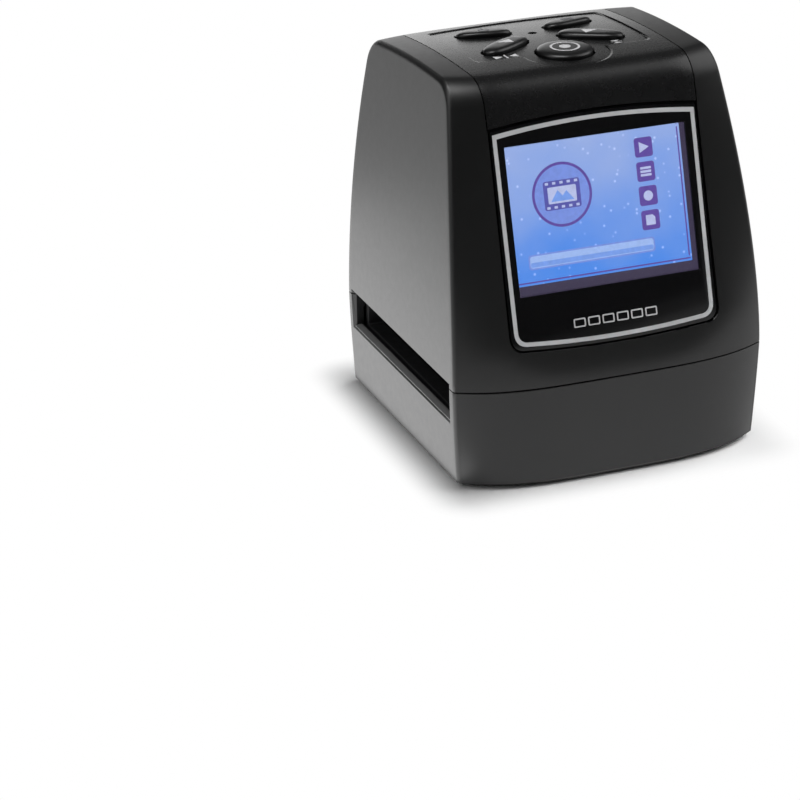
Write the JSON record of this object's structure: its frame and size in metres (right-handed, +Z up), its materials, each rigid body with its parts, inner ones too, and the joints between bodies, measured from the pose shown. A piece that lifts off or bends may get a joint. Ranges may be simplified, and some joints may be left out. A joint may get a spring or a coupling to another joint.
{
  "type": "film negative scanner",
  "caption": "Compact upright desk scanner for film strips and slides, with a leaning colour screen, buttons on top and a film slot through the base.",
  "frame": {"origin": "on the table under the middle of the body, at the undersides of the feet", "axes": "+Z up, -Y out of the leaning screen at the front, +X to the right of someone facing the screen; film passes through along X"},
  "size_m": [0.0862, 0.089, 0.1037],
  "materials": {
    "housing_plastic": "satin black, fine spark texture",
    "button_plastic": "satin black, smooth",
    "inner_plastic": "matt black",
    "gloss_black": "polished piano black",
    "clear_window": "clear, polished",
    "display_glass": "smooth display face",
    "white_plastic": "satin white",
    "milky_plastic": "milky diffusing sheet",
    "circuit_board": "solder mask over fibreglass",
    "steel": "plain sheet and wire",
    "bright_steel": "bright plated",
    "copper_flex": "amber film cable",
    "grey_cable": "flat grey cable",
    "black_rubber": "matt",
    "chip_black": "moulded black",
    "green_light": "translucent green",
    "optical_glass": "coated optical glass"
  },
  "bodies": {
    "case": {"base_housing": "housing_plastic", "upper_housing": "housing_plastic", "top_cover": "housing_plastic", "screen_bezel": "gloss_black", "screen_window": "clear_window", "lcd_panel": "display_glass", "lcd_tray": "steel", "lcd_flex": "copper_flex", "power_switch": "chip_black", "menu_switch": "chip_black", "left_switch": "chip_black", "right_switch": "chip_black", "scan_switch": "chip_black", "button_board": "circuit_board", "status_light": "green_light", "main_board": "circuit_board", "image_processor": "chip_black", "card_socket": "bright_steel", "sensor_board": "circuit_board", "image_sensor": "chip_black", "lens_mount": "inner_plastic", "lens_barrel": "inner_plastic", "front_lens": "optical_glass", "light_shade": "inner_plastic", "upper_film_guide": "inner_plastic", "lower_film_guide": "inner_plastic", "detent_spring": "steel", "diffuser": "milky_plastic", "light_box": "white_plastic", "backlight_board": "circuit_board", "io_board": "circuit_board", "usb_socket": "bright_steel", "usb_tongue": "chip_black", "tv_jack": "chip_black", "board_cable": "grey_cable", "housing_screw_left_front": "steel", "housing_screw_right_front": "steel", "housing_screw_left_back": "steel", "housing_screw_right_back": "steel", "main_board_screw_left": "steel", "button_board_screw_left": "steel", "main_board_screw_right": "steel", "button_board_screw_right": "steel", "foot_left_front": "black_rubber", "foot_right_front": "black_rubber", "foot_left_back": "black_rubber", "foot_right_back": "black_rubber"},
    "power_key": {"power_button": "button_plastic", "power_actuator": "white_plastic"},
    "menu_key": {"menu_button": "button_plastic", "menu_actuator": "white_plastic"},
    "left_key": {"left_button": "button_plastic", "left_actuator": "white_plastic"},
    "right_key": {"right_button": "button_plastic", "right_actuator": "white_plastic"},
    "scan_key": {"scan_button": "button_plastic", "scan_actuator": "white_plastic"},
    "detent": {"detent_pin": "bright_steel"}
  },
  "joints": [
    {"name": "power_press", "type": "slide", "parent": "case", "child": "power_key", "axis": [0, 0, -1], "range_m": [0, 0.0006], "stiffness_N_per_m": 400, "springref_m": -0.0003},
    {"name": "menu_press", "type": "slide", "parent": "case", "child": "menu_key", "axis": [0, 0, -1], "range_m": [0, 0.0006], "stiffness_N_per_m": 400, "springref_m": -0.0003},
    {"name": "left_press", "type": "slide", "parent": "case", "child": "left_key", "axis": [0, 0, -1], "range_m": [0, 0.0006], "stiffness_N_per_m": 400, "springref_m": -0.0003},
    {"name": "right_press", "type": "slide", "parent": "case", "child": "right_key", "axis": [0, 0, -1], "range_m": [0, 0.0006], "stiffness_N_per_m": 400, "springref_m": -0.0003},
    {"name": "scan_press", "type": "slide", "parent": "case", "child": "scan_key", "axis": [0, 0, -1], "range_m": [0, 0.0006], "stiffness_N_per_m": 400, "springref_m": -0.0003},
    {"name": "detent_slide", "type": "slide", "parent": "case", "child": "detent", "axis": [0, 0, -1], "range_m": [0, 0.001], "stiffness_N_per_m": 400, "springref_m": -0.0004, "deforming": ["detent_spring"]}
  ]
}
